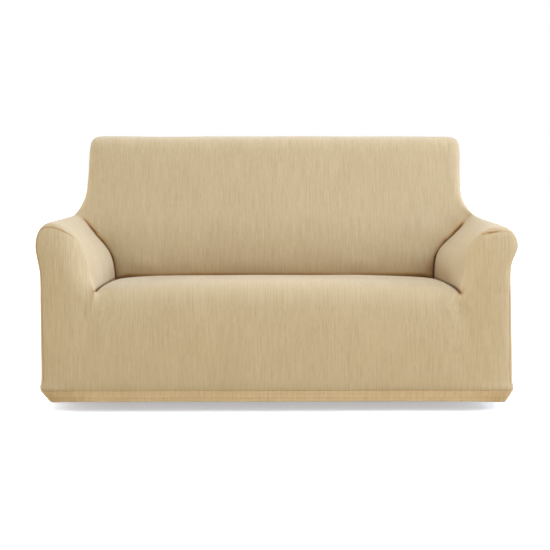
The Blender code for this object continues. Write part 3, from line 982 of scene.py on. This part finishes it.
class CoverSizes(bpy.types.PropertyGroup):
    """Sizes of the cloth and its folds."""

    fineness: IntProperty(
        name="Fineness", description="How many times the cage is subdivided", default=4, min=1, max=5)
    cloth_thickness: FloatProperty(
        name="Cloth thickness", description="Thickness of the knit", default=0.0015, unit="LENGTH")
    edge_turn: FloatProperty(
        name="Edge turn", description="How far a panel's edge is turned under at its seam",
        default=0.0010, unit="LENGTH")
    seam_depth: FloatProperty(
        name="Seam dip", description="How far the cloth dips beside a seam", default=0.0010,
        unit="LENGTH")
    slack_height: FloatProperty(
        name="Slackness", description="Height of the broad uneven waves in the cloth",
        default=0.0016, unit="LENGTH")
    fold_share: FloatProperty(
        name="Folds", description="How strongly the folds and creases show", default=1.0,
        subtype="FACTOR")
    gather_height: FloatProperty(
        name="Gathers", description="Height of the small gathers above the elastic",
        default=0.0006, unit="LENGTH")
    rib_pitch: FloatProperty(
        name="Rib pitch", description="Distance between two ribs of the knit", default=0.0034,
        unit="LENGTH")
    rib_height: FloatProperty(
        name="Rib height", description="Relief of the knit", default=0.0007, unit="LENGTH")
    thread: FloatProperty(
        name="Thread", description="Thickness of the sewing thread", default=0.0009, unit="LENGTH")
    stitch_length: FloatProperty(
        name="Stitch length", description="Length of one stitch of the hem", default=0.0065,
        unit="LENGTH")
    stitch_pitch: FloatProperty(
        name="Stitch pitch", description="Distance from one stitch to the next", default=0.0085,
        unit="LENGTH")
    streak_contrast: FloatProperty(
        name="Streaks", description="How strongly the yarn's shade varies", default=1.0,
        subtype="FACTOR")


class CoverColours(bpy.types.PropertyGroup):
    """Colours of the yarns and of the studio."""

    light_yarn: FloatVectorProperty(
        name="Light yarn", description="Lighter yarn of the knit", subtype="COLOR",
        default=(0.562, 0.461, 0.295))
    dark_yarn: FloatVectorProperty(
        name="Dark yarn", description="Darker yarn of the knit", subtype="COLOR",
        default=(0.362, 0.279, 0.156))
    light_hem: FloatVectorProperty(
        name="Light hem yarn", description="Lighter yarn of the hem band", subtype="COLOR",
        default=(0.691, 0.555, 0.342))
    dark_hem: FloatVectorProperty(
        name="Dark hem yarn", description="Darker yarn of the hem band", subtype="COLOR",
        default=(0.455, 0.325, 0.177))
    thread: FloatVectorProperty(
        name="Thread", description="Sewing thread of the hem", subtype="COLOR",
        default=(0.62, 0.33, 0.14))
    floor: FloatVectorProperty(
        name="Floor", description="Colour of the studio floor", subtype="COLOR",
        default=(0.50, 0.41, 0.235))


def body_knit(context):
    """The material that all panels but the hem share."""
    colours, sizes = context.scene.cover_colours, context.scene.cover_sizes
    return bpy.data.materials.get("beige_knit") or knit_material(
        "beige_knit", colours.dark_yarn, colours.light_yarn, sizes)


class COVER_OT_front_and_seat(bpy.types.Operator):
    """Build the front and seat panel."""

    bl_idname = "cover.front_and_seat"
    bl_label = "Front and seat"

    def execute(self, context):
        piece = cut_panel(FRONT, context.scene.cover_sizes, body_knit(context))
        return {"FINISHED"}


class COVER_OT_arm_panels(bpy.types.Operator):
    """Build the two arm panels."""

    bl_idname = "cover.arm_panels"
    bl_label = "Arm panels"

    def execute(self, context):
        for number in (ARM_LEFT, ARM_RIGHT):
            piece = cut_panel(number, context.scene.cover_sizes, body_knit(context))
        return {"FINISHED"}


class COVER_OT_back_panels(bpy.types.Operator):
    """Build the inner and the outer back panel."""

    bl_idname = "cover.back_panels"
    bl_label = "Back panels"

    def execute(self, context):
        sizes = context.scene.cover_sizes
        inner = cut_panel(INNER_BACK, sizes, body_knit(context))
        outer = cut_panel(OUTER_BACK, sizes, body_knit(context))
        return {"FINISHED"}


def level_run(mesh, height):
    """Points all round a panel's outer face at one height, in order, with the face's normals."""
    slice_mesh = bmesh.new()
    slice_mesh.from_mesh(mesh)
    cut = bmesh.ops.bisect_plane(
        slice_mesh, geom=[*slice_mesh.verts, *slice_mesh.edges, *slice_mesh.faces],
        plane_co=(0.0, 0.0, height - MOUNT_Z), plane_no=(0.0, 0.0, 1.0))["geom_cut"]
    edges = {item for item in cut if isinstance(item, bmesh.types.BMEdge)}
    point = next(item for item in cut if isinstance(item, bmesh.types.BMVert))
    run = []
    while point:
        run.append((point.co.copy(), point.normal.copy()))
        edge = next((edge for edge in point.link_edges if edge in edges), None)
        edges.discard(edge)
        point = edge.other_vert(point) if edge else None
    slice_mesh.free()
    return run


# How far the middle of a stitch lies off the cloth, as a share of the thread's thickness.
STITCH_LIFT = 0.15
# Stitches are made in small batches, which is much quicker than all in one.
STITCH_BATCH = 40
# A hem band that is whole is cut in more points than this, all round.
FEWEST_CUTS = 100


def stitch_places(run, sizes):
    """Where each stitch lies, end to end along a run of points."""
    places = []
    travelled = 0.0
    for (start, normal), (end, _) in zip(run, run[1:]):
        length = (end - start).length
        while travelled < length:
            along = (end - start).normalized()
            up = (normal - along * normal.dot(along)).normalized()
            turn = Matrix((along, up, along.cross(up).normalized())).transposed()
            place = start.lerp(end, travelled / length) + up * sizes.thread * STITCH_LIFT
            scale = Matrix.Diagonal((sizes.stitch_length / 2, sizes.thread / 2, sizes.thread / 2, 1.0))
            places.append(Matrix.Translation(place) @ turn.to_4x4() @ scale)
            travelled += sizes.stitch_pitch
        travelled -= length
    return places


def stitch_mesh(places):
    """One small rounded thread at each place."""
    mesh = bpy.data.meshes.new("hem_stitching")
    stitches = bmesh.new()
    for first in range(0, len(places), STITCH_BATCH):
        batch = bmesh.new()
        for place in places[first:first + STITCH_BATCH]:
            bmesh.ops.create_icosphere(batch, subdivisions=1, radius=1.0, matrix=place)
        for face in batch.faces:
            face.smooth = True
        batch.to_mesh(mesh)
        batch.free()
        stitches.from_mesh(mesh)
    stitches.to_mesh(mesh)
    stitches.free()
    return mesh


THREAD_ROUGHNESS = 0.7
THREAD_NOISE_RATE = 900.0
THREAD_DARK_SHARE = 0.7


def thread_material(colour):
    """Twisted sewing thread."""
    material, tree, shader = new_material("hem_thread")
    set_inputs(shader, {"Roughness": THREAD_ROUGHNESS})
    place = add_node(tree.nodes, "ShaderNodeTexCoord", (-900, 0))
    noise = add_node(tree.nodes, "ShaderNodeTexNoise", (-700, 0))
    set_inputs(noise, {"Scale": THREAD_NOISE_RATE})
    tree.links.new(place.outputs["Object"], noise.inputs["Vector"])
    dark = (*(THREAD_DARK_SHARE * part for part in colour), 1.0)
    shade = mix_colours(tree, (-400, 0), noise.outputs["Fac"], dark, (*colour, 1.0))
    tree.links.new(shade, shader.inputs["Base Color"])
    return material


def hem_stitching(band, sizes, colour):
    """Two rows of stitches that sew the elastic into the hem band."""
    places = []
    for height in HEM_STITCH_LEVELS:
        run = level_run(band, height)
        if len(run) < FEWEST_CUTS:
            raise RuntimeError("The hem band is not whole at its stitching")
        places += stitch_places(run, sizes)
    mesh = stitch_mesh(places)
    mesh.materials.append(thread_material(colour))
    return put_object("hem_stitching", mesh)


class COVER_OT_hem_band(bpy.types.Operator):
    """Build the elastic hem band and sew its two rows of stitches."""

    bl_idname = "cover.hem_band"
    bl_label = "Hem band"

    def execute(self, context):
        colours, sizes = context.scene.cover_colours, context.scene.cover_sizes
        knit = knit_material("hem_knit", colours.dark_hem, colours.light_hem, sizes)
        band = cut_panel(HEM, sizes, knit)
        stitching = hem_stitching(band.data, sizes, colours.thread)
        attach(stitching, "root")
        return {"FINISHED"}


# ---- studio

FLOOR_HALF_WIDTH = 60.0
FLOOR_Z = -0.007
FLOOR_FINISH = {
    "Base Color": (0.97, 0.97, 0.97, 1.0),
    "Roughness": 0.9,
    "Specular IOR Level": 0.0,
    "Emission Color": (1.0, 0.985, 0.98, 1.0),
    "Emission Strength": 0.455,
}

CAMERA_SENSOR = 36.0
# Focal length over the width of a render, both in pixels.
CAMERA_FOCAL_SHARE = 1087.0 / 550.0
CAMERA_REACH = 100.0
CAMERA_PLACE = Vector((-0.035, -3.600, 0.800)) + TO_ORIGIN
CAMERA_PITCH = math.radians(5.37)
CAMERA_YAW = math.radians(0.49)

# A far, soft light: where it comes from, how many degrees wide it looks, how brightly it lights a
# white card, and its colour.
SoftLight = namedtuple("SoftLight", "name towards spread strength colour")
SOFT_LIGHTS = (
    SoftLight("left_light", (-0.966, 0.0, 0.259), 50.0, 0.80, (1.0, 1.0, 1.02)),
    SoftLight("right_light", (0.966, 0.0, 0.259), 50.0, 1.20, (0.95, 1.03, 1.24)),
    SoftLight("front_light", (0.0, -0.906, 0.423), 50.0, 0.41, (1.025, 1.0, 0.94)),
    SoftLight("back_light", (0.0, 0.643, 0.766), 50.0, 0.24, (1.0, 1.0, 1.0)),
)
LIGHT_DISTANCE = 4.0
FILL_PLACE = Vector((1.80, -1.95, 1.10))
FILL_AIM = Vector((0.5, -0.7, -0.5))
FILL_SIZE = 1.4
FILL_POWER = 24.0
FILL_COLOUR = (0.92, 1.0, 1.28)
# The backdrop's own light is low up to the first angle over the horizon and full from the second.
HORIZON_LIGHT = (0.08, 0.08, 0.08, 1.0)
OVERHEAD_LIGHT = (0.58, 0.58, 0.58, 1.0)
LIGHT_ANGLES = (math.radians(17.0), math.radians(38.0))
BACKDROP_WHITE = (1.0, 1.0, 1.0, 1.0)


def place_light(data, place, direction, energy, colour):
    """Put a lamp in the studio, shining from a direction."""
    data.energy = energy
    data.color = colour
    lamp = put_object(data.name, data)
    lamp.location = place
    lamp.rotation_euler = direction.to_track_quat("Z", "Y").to_euler()


def add_soft_light(light):
    """A far light that falls the same on the whole floor."""
    data = bpy.data.lights.new(light.name, "SUN")
    data.angle = math.radians(light.spread)
    towards = Vector(light.towards)
    place_light(data, towards * LIGHT_DISTANCE, towards, light.strength * math.pi, light.colour)


def add_fill_light():
    """A cool panel light near the right arm."""
    data = bpy.data.lights.new("fill_light", "AREA")
    data.size = FILL_SIZE
    place_light(data, FILL_PLACE, FILL_PLACE - FILL_AIM, FILL_POWER, FILL_COLOUR)


def white_world():
    """A white backdrop, with a broad soft light overhead and little from the horizon."""
    world = bpy.data.worlds.new("white_studio")
    world.use_nodes = True
    tree = world.node_tree
    place = add_node(tree.nodes, "ShaderNodeTexCoord", (-1100, 0))
    split = add_node(tree.nodes, "ShaderNodeSeparateXYZ", (-900, 0))
    height = add_node(tree.nodes, "ShaderNodeMapRange", (-700, 0), interpolation_type="SMOOTHSTEP")
    start, full = LIGHT_ANGLES
    set_inputs(height, {"From Min": math.sin(start), "From Max": math.sin(full)})
    tree.links.new(place.outputs["Generated"], split.inputs["Vector"])
    tree.links.new(split.outputs["Z"], height.inputs["Value"])
    ray = add_node(tree.nodes, "ShaderNodeLightPath", (-450, 350))
    light = mix_colours(tree, (-450, 0), height.outputs["Result"], HORIZON_LIGHT, OVERHEAD_LIGHT)
    seen = mix_colours(tree, (-200, 0), ray.outputs["Is Camera Ray"], light, BACKDROP_WHITE)
    tree.links.new(seen, tree.nodes["Background"].inputs["Color"])
    return world


def floor_material(colour):
    """A bright floor that looks white and throws only a little light back up."""
    material, tree, bright = new_material("pale_floor")
    set_inputs(bright, FLOOR_FINISH)
    dull = add_node(tree.nodes, "ShaderNodeBsdfDiffuse", (-100, -500))
    set_inputs(dull, {"Color": (*colour, 1.0)})
    ray = add_node(tree.nodes, "ShaderNodeLightPath", (-100, 350))
    choose = add_node(tree.nodes, "ShaderNodeMixShader", (250, 100))
    shown, lighting, in_view = choose.inputs
    tree.links.new(ray.outputs["Is Camera Ray"], shown)
    tree.links.new(dull.outputs["BSDF"], lighting)
    tree.links.new(bright.outputs["BSDF"], in_view)
    tree.links.new(choose.outputs["Shader"], tree.nodes["Material Output"].inputs["Surface"])
    return material


class COVER_OT_studio(bpy.types.Operator):
    """Build the pale floor, the soft lights and the camera."""

    bl_idname = "cover.studio"
    bl_label = "Studio"

    def execute(self, context):
        scene = context.scene
        plane = bmesh.new()
        bmesh.ops.create_grid(plane, x_segments=1, y_segments=1, size=FLOOR_HALF_WIDTH)
        bmesh.ops.translate(plane, verts=plane.verts, vec=(0.0, 0.0, FLOOR_Z - MOUNT_Z))
        mesh = bpy.data.meshes.new("studio_floor")
        plane.to_mesh(mesh)
        plane.free()
        mesh.materials.append(floor_material(scene.cover_colours.floor))
        put_object("studio_floor", mesh)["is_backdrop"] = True

        scene.world = white_world()
        scene.view_settings.view_transform = "Standard"
        for light in SOFT_LIGHTS:
            add_soft_light(light)
        add_fill_light()

        data = bpy.data.cameras.new("camera")
        data.sensor_width = CAMERA_SENSOR
        data.lens = CAMERA_SENSOR * CAMERA_FOCAL_SHARE
        data.clip_end = CAMERA_REACH
        camera = put_object("camera", data)
        camera.location = CAMERA_PLACE
        camera.rotation_euler = (math.pi / 2 - CAMERA_PITCH, 0.0, -CAMERA_YAW)
        scene.camera = camera
        return {"FINISHED"}


class COVER_PT_panel(bpy.types.Panel):
    """The slipcover's pieces, sizes and colours."""

    bl_idname = "COVER_PT_panel"
    bl_label = "Slipcover"
    bl_space_type = "VIEW_3D"
    bl_region_type = "UI"
    bl_category = "Slipcover"

    def draw(self, context):
        layout = self.layout
        for settings in (context.scene.cover_sizes, context.scene.cover_colours):
            for name in settings.__annotations__:
                layout.prop(settings, name)
        for operator in OPERATORS:
            layout.operator(operator.bl_idname)


OPERATORS = (
    COVER_OT_front_and_seat,
    COVER_OT_arm_panels,
    COVER_OT_back_panels,
    COVER_OT_hem_band,
    COVER_OT_studio,
)
CLASSES = (CoverSizes, CoverColours, *OPERATORS, COVER_PT_panel)


def register():
    for item in CLASSES:
        bpy.utils.register_class(item)
    bpy.types.Scene.cover_sizes = PointerProperty(type=CoverSizes)
    bpy.types.Scene.cover_colours = PointerProperty(type=CoverColours)


def unregister():
    del bpy.types.Scene.cover_colours
    del bpy.types.Scene.cover_sizes
    for item in reversed(CLASSES):
        bpy.utils.unregister_class(item)


def write_sizes():
    """Put the CAD box and the visual model's box into plain lists, which are not written anywhere."""
    boxes = {"cad": CAD_BOX, "visual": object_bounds()}
    plain = {name: [list(corner) for corner in box] for name, box in boxes.items()}


def main():
    register()
    bpy.ops.cover.front_and_seat()
    bpy.ops.cover.arm_panels()
    bpy.ops.cover.back_panels()
    bpy.ops.cover.hem_band()
    bpy.data.meshes.remove(bpy.data.meshes[SHELL_NAME])
    bpy.ops.cover.studio()
    write_sizes()


if __name__ == "__main__":
    main()
